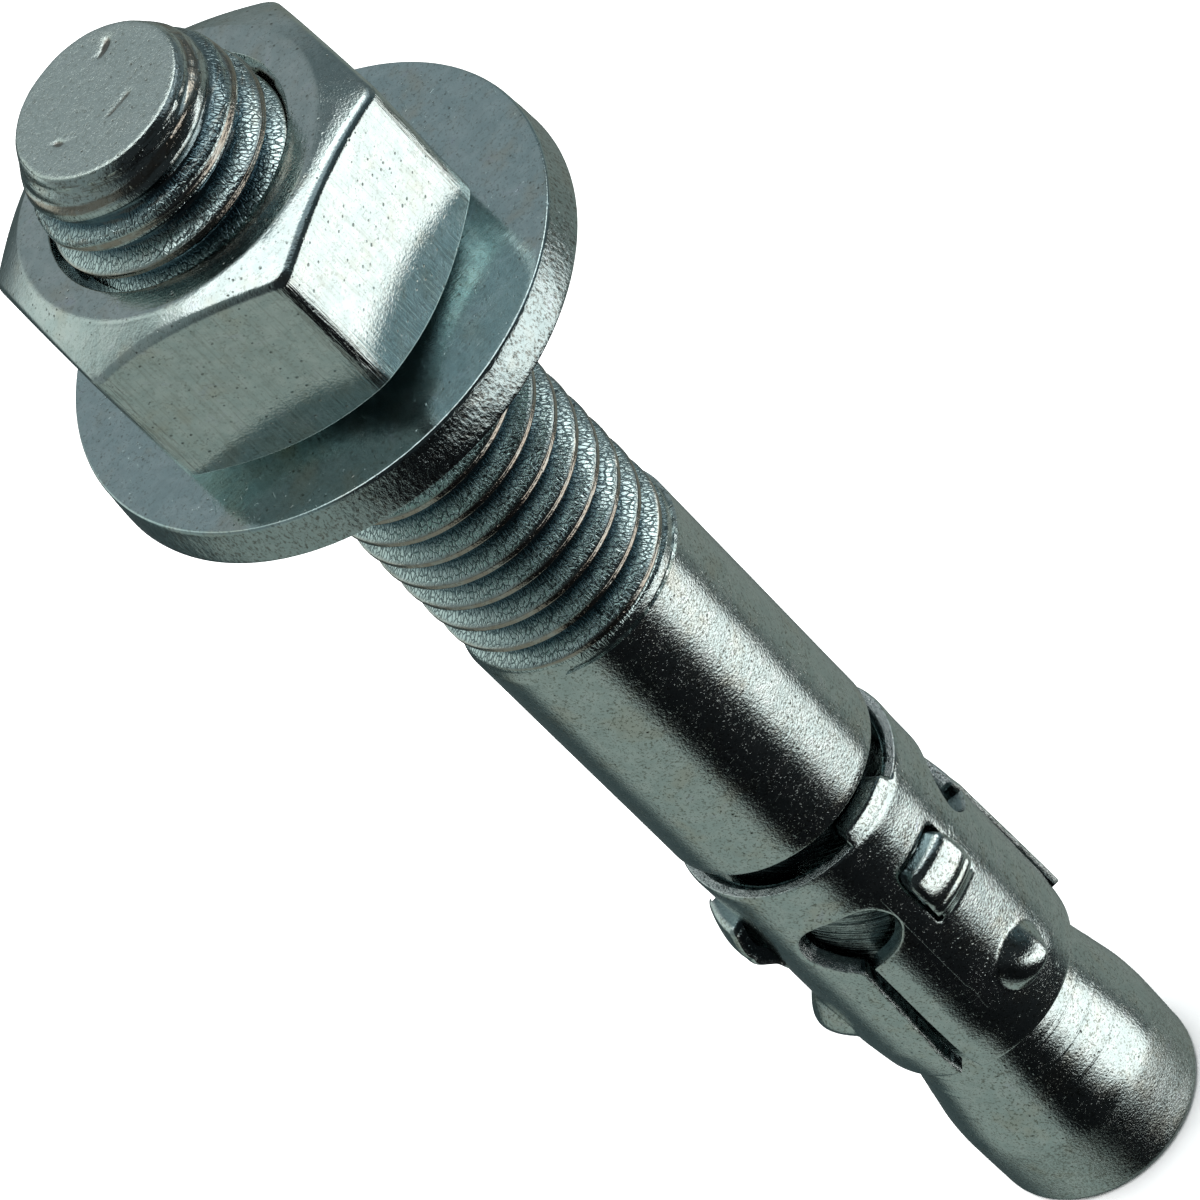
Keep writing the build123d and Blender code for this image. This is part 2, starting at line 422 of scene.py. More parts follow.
    # end bevel and end face, with a few small dents from handling
    rings = [(body_envelope(96.1), 96.1), (4.58, 96.2), (4.53, 96.28), (4.47, 96.36),
             (4.41, 96.42), (4.33, 96.465), (4.23, 96.49), (4.1, 96.5)]
    rings += [(float(r), 96.5) for r in np.arange(3.95, 0.1, -0.14)] + [(0.0, 96.5)]
    rr = np.array(rings)
    Rr, Zr = rr[:, 0][:, None], rr[:, 1][:, None]
    Ar = np.broadcast_to(az[None, :], (len(rr), n_col + 1))
    X, Y = Rr * np.sin(np.radians(Ar)), -Rr * np.cos(np.radians(Ar))
    dz = np.zeros_like(X)
    nick = np.zeros_like(X)
    for cx, cy, ang, ln, wd, dp in ((1.9, 2.2, 35, 0.75, 0.24, 0.13), (-2.4, -0.6, -50, 0.6, 0.20, 0.10),
                                    (0.6, -1.5, 8, 0.9, 0.15, 0.07)):
        c, s = math.cos(math.radians(ang)), math.sin(math.radians(ang))
        u, w = (X - cx) * c + (Y - cy) * s, -(X - cx) * s + (Y - cy) * c
        dent = np.exp(-(u / ln) ** 4 - (w / wd) ** 2) * np.clip(0.75 + 0.9 * noise3(X, Y, 7, 0.45), 0, 1.2)
        dz -= dp * dent
        nick = np.maximum(nick, dent)
    inner = 1 - sstep(Rr, 3.9, 4.3)
    dz = (dz + 0.008 * noise3(X, Y, 0, 0.9) - 0.016 + 0.006 * noise3(X + 9, Y, 0, 0.4)) * inner
    edge = sstep(Rr, 3.9, 4.2) * (Zr > 96.15)
    dent = edge * 0.035 * (ring_noise(Ar, Zr, 1.1, seed=41) - 0.3)
    Rr2 = np.where(Zr <= 96.1, Rr, Rr + dent)
    emit(cyl(Ar, np.maximum(Rr2, 0), np.broadcast_to(Zr, Ar.shape) + dz), 0.0, 0.0, 0.0, nick)

    V = np.concatenate(verts)
    V[np.hypot(V[:, 0], V[:, 1]) < 1e-6, :2] = 0.0
    return make_piece("stud", V, np.concatenate(faces).tolist(),
                      {"crest": np.concatenate(crest), "flank": np.concatenate(flank),
                       "root": np.concatenate(root), "nick": np.concatenate(nicks)},
                      material, "anchor", "anchor_body", sharp=50)


def body_detail(n, m):
    crest, flank = n.layer("crest"), n.layer("flank")
    x, y, z, p = m["x"], m["y"], m["z"], m["p"]
    rad = n.math("SQRT", n.add(n.mul(x, x), n.mul(y, y)))
    # stretched cells on the rolled flanks
    inv = n.math("DIVIDE", 5.8, n.math("MAXIMUM", rad, 0.5))
    ringco = n.comb(n.mul(x, inv), n.mul(y, inv), n.add(n.mul(z, 0.27), n.mul(rad, -0.40)))
    root = n.layer("root")
    cell = n.cells(ringco, 5.0, "DISTANCE_TO_EDGE")["Distance"]
    cell_h = n.add(n.step(cell, 0.0, 0.16), n.mul(n.noise(p, 6.0, 2.0), 0.9))
    # rough as-forged skin on the blunt tip
    forge = n.step(z, 6.2, 5.2)
    lump = n.noise(p, 7.5, 3.0, 0.68)
    # fine turned rings on the cone, diagonal tool marks on the neck
    ring = n.noise(n.comb(0.0, 0.0, z), 7.0, 3.0, 0.7)
    cone = n.mul(n.step(z, 6.4, 7.4), n.step(z, 14.4, 13.6))
    ang = n.mul(n.math("ARCTAN2", x, n.mul(y, -1.0)), 5.2)
    diag = n.noise(n.comb(n.add(n.mul(ang, 0.18), n.mul(z, 0.25)), n.add(z, n.mul(ang, 0.55)), 0.0), 4.2, 3.0, 0.7)
    neck = n.mul(n.step(z, 14.0, 14.6), n.step(z, 35.8, 35.4))
    lead = n.mul(n.step(z, 91.0, 92.5), n.step(z, 96.5, 96.2))
    leadco = n.comb(n.mul(x, 0.35), n.mul(y, 0.35), n.mul(z, 3.2))
    leadn = n.noise(leadco, 1.6, 4.0, 0.65)
    endf = n.step(z, 96.38, 96.46)
    endn = n.noise(p, 3.4, 4.0, 0.74)

    height = n.add(m["height"], n.mul(flank, cell_h, 0.015), n.mul(forge, lump, 0.028),
                   n.mul(cone, ring, 0.012), n.mul(neck, diag, 0.09), n.mul(lead, leadn, 0.022),
                   n.mul(endf, endn, 0.045), n.mul(crest, m["mid"], 0.03))
    col = n.mix(n.mul(crest, n.step(m["mid"], 0.25, 0.6, 0.45, 0.85)), m["col"], (0.42, 0.34, 0.27))
    # painted highlight: the rolled flanks lightened to a pale blue-green so they look brighter
    col = n.mix(n.mul(flank, 0.55), col, (0.72, 0.90, 0.90))
    col = n.mix(n.mul(flank, n.step(cell, 0.085, 0.0), 0.88), col, (0.04, 0.06, 0.07))
    # painted shade: the thread root band darkened to a deep blue, as if shadowed by the crest above
    col = n.mix(n.mul(root, 0.88), col, (0.035, 0.10, 0.135))
    col = n.mix(n.mul(neck, 0.25), col, (0.16, 0.28, 0.31))
    col = n.mix(n.mul(neck, n.step(diag, 0.49, 0.44), 0.85), col, (0.06, 0.10, 0.11))
    col = n.mix(n.mul(neck, n.step(diag, 0.56, 0.62), 0.7), col, (0.85, 0.92, 0.92))
    col = n.mix(n.mul(endf, 0.65), col, (0.86, 0.94, 0.89))
    col = n.mix(n.mul(endf, n.step(endn, 0.47, 0.34), 0.55), col, (0.42, 0.45, 0.40))
    col = n.mix(n.mul(endf, m["pit"], 0.8), col, (0.12, 0.11, 0.09))
    col = n.mix(n.mul(n.step(n.layer("nick"), 0.25, 0.75), 0.8), col, (0.22, 0.19, 0.16))
    # painted shade: the neck darkened to near black just under the clip's top edge and the shoulder
    col = n.mix(n.mul(n.step(z, 32.6, 34.2), n.step(z, 35.9, 35.7), 0.92), col, (0.02, 0.035, 0.04))
    col = n.mix(n.mul(forge, n.step(lump, 0.52, 0.40), 0.6), col, (0.22, 0.23, 0.20))
    col = n.mix(n.mul(lead, n.step(leadn, 0.50, 0.38), 0.55), col, (0.24, 0.21, 0.17))
    rough = n.add(m["rough"], n.mul(flank, 0.02), n.mul(forge, 0.01), n.mul(endf, 0.05))
    return height, col, rough


# ---------------------------------------------------------------- nut

def hex_radius(az, apothem=9.375, fillet=0.95, clock=1.0):
    a = np.abs((np.asarray(az) - clock + 30.0) % 60.0 - 30.0)
    ar = np.radians(a)
    c = (apothem - fillet) / math.cos(math.radians(30))
    tx, ty = c + fillet * math.cos(math.radians(30)), fillet * math.sin(math.radians(30))
    at = math.degrees(math.atan2(ty, tx))
    corner = c * np.cos(ar) + np.sqrt(np.maximum(fillet ** 2 - (c * np.sin(ar)) ** 2, 0))
    flat = apothem / np.cos(np.radians(30) - ar)
    return np.where(a <= at, corner, flat)


def fillet_path(points, radii, steps):
    """Round each inner corner of a polyline whose points are arrays over the columns.
    points: list of (r, z) arrays; radii: one per inner point; gives a list of (r, z)."""
    out = [points[0]]
    for i in range(1, len(points) - 1):
        (r0, z0), (r1, z1), (r2, z2) = points[i - 1], points[i], points[i + 1]
        rad = radii[i - 1]
        if rad <= 0:
            out.append((r1, z1))
            continue
        ax, ay = r0 - r1, z0 - z1
        bx, by = r2 - r1, z2 - z1
        la, lb = np.hypot(ax, ay), np.hypot(bx, by)
        ax, ay, bx, by = ax / la, ay / la, bx / lb, by / lb
        cosang = np.clip(ax * bx + ay * by, -1, 1)
        half = np.arccos(cosang) / 2
        t = np.minimum(rad / np.tan(half), 0.45 * np.minimum(la, lb))
        for s in range(steps + 1):
            u = s / steps
            # quadratic blend between the two tangent points, close to an arc
            w0, w1, w2 = (1 - u) ** 2, 2 * u * (1 - u), u ** 2
            out.append((w0 * (r1 + ax * t) + w1 * r1 + w2 * (r1 + bx * t),
                        w0 * (z1 + ay * t) + w1 * z1 + w2 * (z1 + by * t)))
    out.append(points[-1])
    return out


def make_nut(material):
    z0, z1 = 79.52, 90.62
    half = [0, 0.25, 0.5, 0.75, 1.0, 1.2, 1.6, 2.2, 3.2, 4.6, 6.5, 9, 12, 15.5, 19, 22.5, 26, 30]
    offs = sorted(set(half + [-h for h in half[:-1]]))
    az = np.array(sorted({round((1.0 + 60 * k + o) % 360, 6) for k in range(6) for o in offs}))
    az = np.append(az, az[0] + 360.0)
    RH = hex_radius(az)
    one = np.ones_like(az)
    # the top chamfer was struck a little off square: shallow at the front
    side_az = (az + 180.0) % 360.0 - 180.0
    slope = np.interp(side_az, [-180, -119, -59, -25, 1, 30, 61, 121, 180],
                      [0.60, 0.66, 0.60, 0.37, 0.33, 0.34, 0.42, 0.62, 0.60])
    tz = z1 - slope * (RH - 8.25)
    lz = z0 + 0.684 * (RH - 8.20)
    wob = 0.10 * np.sin(np.radians(az * 2 + 40)) + 0.05 * np.sin(np.radians(az * 5))
    path = [(6.25 * one, (z1 - 0.62) * one), (6.66 * one, z1 * one), ((8.25 + wob) * one, z1 * one),
            (RH, tz), (RH, lz), (8.20 * one, z0 * one), (6.62 * one, z0 * one), (6.25 * one, (z0 + 0.62) * one)]
    # from the top mouth outwards, down the sides and in again below
    pts = fillet_path(path, [0.10, 0.9, 0.75, 0.16, 0.10, 0.08], 7)
    # support rows on the long sides
    full = []
    for i, (r, z) in enumerate(pts):
        if full:
            pr, pz = full[-1]
            gap = float(np.max(np.hypot(r - pr, z - pz)))
            k = int(gap // 1.2)
            for s in range(1, k + 1):
                u = s / (k + 1)
                full.append((pr * (1 - u) + r * u, pz * (1 - u) + z * u))
        full.append((r, z))
    R = np.array([q[0] for q in full])
    Z = np.array([q[1] for q in full])
    A = np.broadcast_to(az[None, :], R.shape)
    outer = sstep(R, 7.0, 8.5)
    R = R + outer * (0.010 * ring_noise(A, Z, 3.0, radius=10, seed=51) - 0.008)
    Z = Z + (Z > z1 - 0.05) * sstep(R, 6.7, 7.0) * (0.006 * ring_noise(A, R * 3, 2.5, radius=8, seed=52) - 0.006)
    V = [cyl(A, R, Z).reshape(-1, 3)]
    # rows run downwards on the outside, so the faces are turned round
    F = [grid_faces(R.shape[0], len(az))[:, ::-1]]
    a_c = np.abs((A - 1.0 + 30.0) % 60.0 - 30.0)
    side = (np.abs(R - np.broadcast_to(RH, R.shape)) < 0.06).astype(float)
    corner = [(sstep(a_c, 4.6, 2.4) * side).reshape(-1)]
    low = [np.zeros(R.size)]

    hs = [-0.725, -0.45, -0.21, 0.0, 0.21, 0.45, 0.725, PITCH / 2]
    z_lo, z_hi = z0 + 0.62, z1 - 0.62
    rows = np.array([CREST_Z + k * PITCH + h for k in range(3, 14) for h in hs])
    rows = rows[(rows > z_lo - 1.1 * PITCH) & (rows < z_hi + 0.02)]
    Zt = np.clip(rows[:, None] + az[None, :] * PITCH / 360.0, z_lo, z_hi)
    At = np.broadcast_to(az[None, :], Zt.shape)
    H = thread_phase(At, Zt)
    Rt = np.clip(6.29 - (np.abs(H) - 0.2) * 1.732, 5.38, 6.27)
    lead_in = np.minimum(sstep(Zt, z_lo, z_lo + 0.6), sstep(z_hi - Zt, 0, 0.6))
    Rt = 6.25 * (1 - lead_in) + Rt * lead_in
    # full end rings so the thread closes onto the mouths
    Zt = np.vstack([np.full((1, len(az)), z_lo), Zt, np.full((1, len(az)), z_hi)])
    Rt = np.vstack([np.full((1, len(az)), 6.25), Rt, np.full((1, len(az)), 6.25)])
    At = np.broadcast_to(az[None, :], Zt.shape)
    start = sum(len(v) for v in V)
    V.append(cyl(At, Rt, Zt).reshape(-1, 3))
    F.append(grid_faces(Zt.shape[0], len(az), start)[:, ::-1])
    corner.append(np.zeros(Zt.size))
    return make_piece("nut", np.concatenate(V), np.concatenate(F).tolist(),
                      {"corner": np.concatenate(corner)}, material, "nut", "hex_nut",
                      sharp=34)


def nut_detail(n, m):
    corner = n.layer("corner")
    x, y, z, p = m["x"], m["y"], m["z"], m["p"]
    drawn = n.noise(n.vec("MULTIPLY", p, (5.5, 5.5, 0.25)), 1.3, 3.0, 0.6)
    low = n.step(z, 84.2, 82.2)
    top = n.step(z, 90.45, 90.58)
    swirl_r = n.math("SQRT", n.add(n.mul(x, x), n.mul(y, y)))
    swirl = n.noise(n.comb(n.mul(swirl_r, 3.0), n.mul(x, 0.12), n.mul(y, 0.12)), 2.2, 3.0, 0.6)
    height = n.add(m["height"], n.mul(corner, drawn, 0.035), n.mul(low, drawn, 0.012), n.mul(drawn, 0.004),
                   n.mul(top, swirl, 0.008))
    col = n.mix(n.mul(corner, n.step(drawn, 0.55, 0.38), 0.4), m["col"], (0.28, 0.27, 0.24))
    side = n.mul(n.step(z, 90.2, 89.6), n.step(swirl_r, 8.6, 9.2))
    col = n.mix(n.mul(side, n.step(drawn, 0.50, 0.36), 0.34), col, (0.42, 0.45, 0.41))
    return height, col, m["rough"]


# ---------------------------------------------------------------- washer

def make_washer(material):
    n_col = 360
    az = np.arange(n_col + 1) * 360.0 / n_col
    b, t = 77.10, 79.50
    prof = [(7.0, b + 0.35), (7.02, b + 0.12), (7.12, b + 0.01), (7.4, b), (8.6, b), (10.0, b),
            (11.4, b), (12.6, b), (13.2, b), (13.40, b + 0.005), (13.46, b + 0.03), (13.485, b + 0.10),
            (13.485, b + 0.35), (13.47, b + 0.65), (13.45, b + 0.95), (13.42, b + 1.25),
            (13.39, b + 1.5), (13.36, b + 1.75), (13.34, b + 2.0), (13.33, b + 2.16),
            (13.315, b + 2.26), (13.29, b + 2.335), (13.24, b + 2.385), (13.16, b + 2.398), (12.9, t), (12.3, t), (11.4, t),
            (10.6, t), (9.8, t), (9.0, t), (8.3, t), (7.7, t - 0.01), (7.42, t - 0.05), (7.24, t - 0.12),
            (7.1, t - 0.24), (7.03, t - 0.42), (7.0, t - 0.7), (7.0, t - 1.2), (7.0, b + 0.8),
            (7.0, b + 0.35)]
    pr = np.array(prof)
    R, Z = pr[:, 0][:, None], pr[:, 1][:, None]
    A = np.broadcast_to(az[None, :], (len(pr), n_col + 1))
    rim = sstep(R, 13.15, 13.30) * sstep(Z, b + 0.02, b + 0.2) * (1 - sstep(Z, b + 2.1, b + 2.3))
    dr = rim * (0.020 * ring_noise(A, Z, 0.55, 0.9, radius=13.5, seed=61) - 0.018)
    dz = (Z > b + 2.3) * sstep(R, 7.6, 8.4) * (0.010 * ring_noise(A, R, 4.0, radius=11, seed=62) - 0.008)
    rimlay = sstep(R, 13.2, 13.30) * (1 - sstep(Z, b + 2.16, b + 2.30)) * sstep(Z, b - 0.01, b + 0.04)
    V = cyl(A, R + dr, np.broadcast_to(Z, A.shape) + dz, shift=0.62).reshape(-1, 3)
    lay = np.broadcast_to(rimlay, A.shape).reshape(-1)
    roll = sstep(R, 13.0, 13.2) * sstep(Z, b + 2.1, b + 2.3)
    rl = np.broadcast_to(roll, A.shape).reshape(-1)
    return make_piece("washer", V, grid_faces(len(pr), n_col + 1).tolist(),
                      {"rim": lay, "roll": rl}, material, "washer", "flat_washer", sharp=50)


def washer_detail(n, m):
    rim, roll = n.layer("rim"), n.layer("roll")
    p, z = m["p"], m["z"]
    grain = n.noise(n.vec("MULTIPLY", p, (1.0, 1.0, 0.55)), 6.5, 3.0, 0.65)
    tear = n.cells(n.vec("MULTIPLY", p, (1.0, 1.0, 0.45)), 4.2)["Distance"]
    top = n.step(z, 79.42, 79.48)
    brush = n.noise(n.vec("MULTIPLY", p, (0.35, 2.6, 1.0)), 2.0, 4.0, 0.6)
    height = n.add(m["height"], n.mul(rim, grain, 0.030), n.mul(rim, tear, 0.014),
                   n.mul(top, brush, 0.016))
    col = n.mix(n.mul(rim, 0.35), m["col"], (0.34, 0.37, 0.36))
    col = n.mix(n.mul(rim, n.step(grain, 0.50, 0.36), 0.75), col, (0.15, 0.14, 0.12))
    rough = n.add(m["rough"], n.mul(top, 0.01))
    return height, col, rough


# ---------------------------------------------------------------- clip

CLIP_R = 6.55
K = math.radians(1.0) * CLIP_R       # mm of developed width per degree
FINGERS = (22.5, 142.5, -96.0)
CLIP_TOP, CLIP_LOW = 33.85, 14.30
NIB_TOP = 34.75                      # stub of the carrier strip on the upper edge
DIMPLE_Z = 18.8
TAB_HALF, WIN_HALF = 12.4, 16.25
TAB_OUT = [(6.55, 25.0), (6.60, 25.30), (6.78, 25.66), (7.12, 26.08), (7.42, 26.46), (7.60, 26.76),
           (7.665, 27.02), (7.66, 27.18), (7.625, 27.30), (7.63, 27.42), (7.70, 27.62), (7.725, 27.85),
           (7.715, 28.15), (7.66, 28.5), (7.58, 28.9), (7.48, 29.3), (7.36, 29.66), (7.30, 29.8)]
TAB_IN = [(5.60, 25.0), (5.66, 25.5), (5.95, 26.1), (6.32, 26.75), (6.62, 27.3), (6.80, 27.75),
          (6.83, 28.2), (6.72, 28.9), (6.44, 29.95)]


def wrap_az(a, ref):
    return (a - ref + 180.0) % 360.0 - 180.0


def smooth_line(points, step):
    """Catmull-Rom through the points, resampled at about the given spacing."""
    p = np.array(points, float)
    q = np.vstack([2 * p[0] - p[1], p, 2 * p[-1] - p[-2]])
    out = []
    for i in range(1, len(q) - 2):
        for t in np.linspace(0, 1, 12, endpoint=False):
            out.append(0.5 * ((2 * q[i]) + (-q[i - 1] + q[i + 1]) * t
                              + (2 * q[i - 1] - 5 * q[i] + 4 * q[i + 1] - q[i + 2]) * t ** 2
                              + (-q[i - 1] + 3 * q[i] - 3 * q[i + 1] + q[i + 2]) * t ** 3))
    out.append(p[-1])
    return straight(out, step)


def straight(points, step):
    p = np.array(points, float)
    d = np.concatenate([[0], np.cumsum(np.hypot(*np.diff(p, axis=0).T))])
    n = max(1, int(round(d[-1] / step)))
    s = np.linspace(0, d[-1], n + 1)
    return np.stack([np.interp(s, d, p[:, 0]), np.interp(s, d, p[:, 1])], -1)


EYE_L = [(0.0, 25.30), (0.19, 25.60), (0.45, 26.0), (0.72, 26.5), (0.94, 27.05), (1.0, 27.8),
         (0.90, 28.6), (0.70, 29.3), (0.36, 29.95), (0.0, 30.20)]
EYE_R = [(0.0, 30.20), (0.42, 30.10), (0.74, 29.62), (0.90, 28.95), (1.0, 28.1), (0.98, 27.3),
         (0.86, 26.68), (0.68, 26.16), (0.42, 25.8), (0.16, 25.58), (0.0, 25.40)]


def clip_outline():
    """The developed strip: closed loops of (s, z, rough) in mm, outer loop first."""
    step = 0.15
    runs = []

    def run(pts_az, rough, curved=False):
        pts = [(a * K, z) for a, z in pts_az]
        line = smooth_line(pts, step) if curved else straight(pts, step)
        runs.append((line, rough))

    # bottom of the left finger, then each slit and eye in turn
    run([(-150.8, CLIP_LOW), (-40.0, CLIP_LOW)], 0.3)
    run([(-40.0, CLIP_LOW), (-39.6, 16.0), (-37.6, 21.0), (-36.4, 25.30)], 1.0)
    run([(-36.4 - 20.6 * u, z) for u, z in EYE_L[:-1]] + [(-36.0, 30.2)], 1.0, True)
    run([(-36.0, 30.2)] + [(-30.5 + 25.0 * u, z) for u, z in EYE_R[1:]], 0.15, True)
    run([(-30.5, 25.40), (-30.6, 20.0), (-30.0, 15.6), (-28.6, CLIP_LOW + 0.1)], 0.1)
    run([(-28.6, CLIP_LOW + 0.1), (-27.0, CLIP_LOW), (80.5, CLIP_LOW), (82.0, CLIP_LOW + 0.1)], 0.3)
    run([(82.0, CLIP_LOW + 0.1), (82.6, 16.5), (82.6, 25.40)], 0.1)
    run([(82.6 - 26.2 * u, z) for u, z in reversed(EYE_R[1:])] + [(86.2, 30.2)], 0.2, True)
    run([(86.2, 30.2)] + [(90.2 + 19.0 * u, z) for u, z in reversed(EYE_L[:-1])], 1.0, True)
    run([(90.2, 25.30), (90.0, 20.0), (90.4, CLIP_LOW)], 1.0)
    run([(90.4, CLIP_LOW), (200.8, CLIP_LOW)], 0.3)
    run([(200.8, CLIP_LOW), (200.6, 20.0), (200.8, 25.30)], 0.5)
    run([(200.8 - 21.6 * u, z) for u, z in EYE_L[:-1]] + [(202.8, 30.15)], 0.5, True)
    run([(202.8, 30.15), (202.8, CLIP_TOP)], 0.6)
    run([(202.8, CLIP_TOP), (41.0, CLIP_TOP)], 0.8)
    run([(41.0, CLIP_TOP), (39.8, CLIP_TOP + 0.12), (38.4, 34.55), (36.8, NIB_TOP - 0.03), (34.0, NIB_TOP)], 0.15)
    run([(34.0, NIB_TOP), (6.0, NIB_TOP)], 0.1)
    run([(6.0, NIB_TOP), (5.2, NIB_TOP - 0.05), (4.9, 34.5), (3.2, 34.35), (3.0, CLIP_TOP)], 0.15)
    run([(3.0, CLIP_TOP), (-152.8, CLIP_TOP)], 0.8)
    run([(-152.8, CLIP_TOP), (-152.8, 30.15)], 0.6)
    run([(-152.8, 30.15)] + [(-150.8 + 21.6 * u, z) for u, z in EYE_R[1:]], 0.5, True)
    run([(-150.8, 25.40), (-150.8, CLIP_LOW)], 0.5)
    pts, rough = [], []
    for line, rg in runs:
        pts.append(line[:-1])
        rough.append(np.full(len(line) - 1, rg))
    loops = [(np.concatenate(pts), np.concatenate(rough))]

    # the lanced slot round three sides of each tab
    for f in FINGERS:
        w, t = WIN_HALF, TAB_HALF
        raw = [(-w, 25.55), (-w, 29.5), (-w + 1.6, 29.95), (-w + 4.5, 30.12), (w - 4.5, 30.12),
               (w - 1.6, 29.95), (w, 29.5), (w, 25.55), (w - 1.4, 25.35), (t + 0.9, 25.35),
               (t, 25.6), (t, 29.3), (t - 0.8, 29.62), (t - 2.6, 29.76), (-t + 2.6, 29.76), (-t + 0.8, 29.62),
               (-t, 29.3), (-t, 25.6), (-t - 0.9, 25.35), (-w + 1.4, 25.35)]
        line = straight([((f + a) * K, z) for a, z in raw + raw[:1]], 0.13)[:-1]
        loops.append((line, np.full(len(line), 0.12)))
    return loops


def in_loops(points, loops):
    inside = np.zeros(len(points), bool)
    for line, _ in loops:
        x0, y0 = line[:, 0], line[:, 1]
        x1, y1 = np.roll(x0, -1), np.roll(y0, -1)
        for k in range(0, len(points), 4000):
            px, py = points[k:k + 4000, 0][:, None], points[k:k + 4000, 1][:, None]
            cross = (y0 > py) != (y1 > py)
            with np.errstate(divide="ignore", invalid="ignore"):
                xi = (x1 - x0) * (py - y0) / (y1 - y0) + x0
            inside[k:k + 4000] ^= (np.sum(cross & (px < xi), axis=1) % 2).astype(bool)
    return inside


def edge_distance(points, loops):
    best = np.full(len(points), 1e9)
    for line, _ in loops:
        a, b = line, np.roll(line, -1, axis=0)
        d = b - a
        dd = np.maximum((d ** 2).sum(1), 1e-12)
        for k in range(0, len(points), 2000):
            p = points[k:k + 2000][:, None, :]
            t = np.clip(((p - a) * d).sum(2) / dd, 0, 1)
            q = a + t[..., None] * d
            best[k:k + 2000] = np.minimum(best[k:k + 2000], np.sqrt(((p - q) ** 2).sum(2)).min(1))
    return best


BURR = np.array([(40.8, 27.82), (42.2, 27.70), (43.6, 27.98), (45.0, 27.90), (46.6, 28.12), (48.4, 28.02),
                 (50.0, 28.20), (51.4, 28.05), (52.6, 28.25)])


def clip_shape(az, z, edge):
    """Outer and inner surface of the clip at developed points: two (r, z) pairs."""
    r = np.full_like(z, CLIP_R)
    r = r + 0.03 * sstep(z, 32.2, 33.6) * (1 - sstep(z, 33.6, 33.85))       # slight bead at the top
    r = r - 0.05 * sstep(np.abs(wrap_az(az, -90)), 60, 10)                  # not quite round
    toe = np.where(z < 16.9, 0.0875 * np.maximum(16.9 - z, 0) ** 1.12, 0)   # finger ends lean in
    lean = np.ones_like(z)
    b_edge = np.clip(az, 90, 205)
    flare = (0.08 + 0.27 * (25.2 - z) / 10.9) * np.exp(-((b_edge - 90) / 16.0) ** 1.5) * (az >= 89) * sstep(25.4 - z, 0, 0.8)
    lean = np.where((az > 88) & (az < 112), sstep(az, 88, 112), lean)
    r = r - toe * lean * 0.95 + flare
    # the strip beside each slit stays flat instead of following the curve
    for edge_az, turn in ((-30.5, 1), (82.6, -1)):
        u = (az - edge_az) * turn
        kink = edge_az + turn * 8.8
        mid = edge_az + turn * 2.6
        flat = CLIP_R * np.cos(np.radians(kink - mid)) / np.cos(np.radians(az - mid))
        on = (u >= -0.5) & (u < 8.8) & (z < 25.6)
        r = np.where(on, r + (flat - CLIP_R) * sstep(z, 25.5, 25.0) * sstep(z, 14.6, 17.4) * (1.0 if turn > 0 else 0.7), r)
    nib = (az > 1.5) & (az < 42.5)
    over = np.where(nib, np.maximum(z - 33.84, 0), 0)
    r = r - np.where(over > 0, 0.05 + 0.175 * over, 0)
    groove = np.where(nib, np.exp(-((z - 33.86) / 0.05) ** 2), 0)
    r = r - 0.035 * groove
    r = r + 0.006 * ring_noise(az, z, 1.8, seed=71) + 0.004 * ring_noise(az, z, 0.7, seed=72)
    base = r.copy()
    # pressed dimples
    for f in FINGERS:
        u = CLIP_R * np.radians(wrap_az(az, f))
        v = z - DIMPLE_Z
        rho2 = u ** 2 + v ** 2
        # the punch left the front dome's crown low and to the right of its middle
        ax, ay = (0.62, -0.66) if f == 22.5 else (0.0, 0.0)
        du, dv = u - ax, v - ay
        qa, qb, qc = du ** 2 + dv ** 2 + 1e-9, du * ax + dv * ay, ax ** 2 + ay ** 2 - 1.86 ** 2
        reach = (-qb + np.sqrt(np.maximum(qb ** 2 - qa * qc, 0))) / qa
        t = np.clip(1.0 / np.maximum(reach, 1e-3), 0, 1.15)
        ball = 5.22 + np.sqrt(np.maximum(2.28 ** 2 - (1.86 * t) ** 2, 0.0))
        bell = 6.54 + 0.96 * np.cos(0.5 * np.pi * np.minimum(t, 1.0)) ** 1.6 - 1.4 * np.maximum(t - 1, 0)
        dome = 0.55 * ball + 0.45 * bell
        dome = np.where(rho2 < 2.12 ** 2, dome, 0)
        r = -smin(-r, -dome, 0.09)
    dimpled = r
    # thin torn burr running from the window to the next eye
    line = np.stack([BURR[:, 0] * K, BURR[:, 1]], -1)
    near = (az > 39) & (az < 54) & (np.abs(z - 28) < 0.8)
    if near.any():
        pts = np.stack([az[near] * K, z[near]], -1)
        a, b = line[:-1], line[1:]
        d = b - a
        t = np.clip(((pts[:, None] - a) * d).sum(2) / (d ** 2).sum(1), 0, 1)
        dist = np.sqrt(((pts[:, None] - (a + t[..., None] * d)) ** 2).sum(2)).min(1)
        add = np.zeros_like(z)
        add[near] = 0.005 * np.exp(-(dist / 0.09) ** 2) - 0.014 * np.exp(-((dist - 0.14) / 0.07) ** 2)
        dimpled = dimpled + add
    # rolled-over edge
    soft = np.full_like(z, 0.055)
    for f in FINGERS:
        soft = np.where((np.abs(wrap_az(az, f)) < 17.6) & (z > 24.9) & (z < 30.4), 0.024, soft)
    dimpled = dimpled - soft * np.clip(1 - edge / 0.16, 0, 1) ** 2
    inner = base - 0.97
    inner = np.maximum(inner, 5.34)
    for f in FINGERS:
        u = CLIP_R * np.radians(wrap_az(az, f)) * 0.84
        rho2 = u ** 2 + (z - DIMPLE_Z) ** 2
        hollow = 5.22 + np.sqrt(np.maximum(1.42 ** 2 - rho2, 0.0))
        inner = np.where(rho2 < 1.42 ** 2, np.maximum(inner, hollow), inner)
    return dimpled, z.copy(), inner, z.copy()


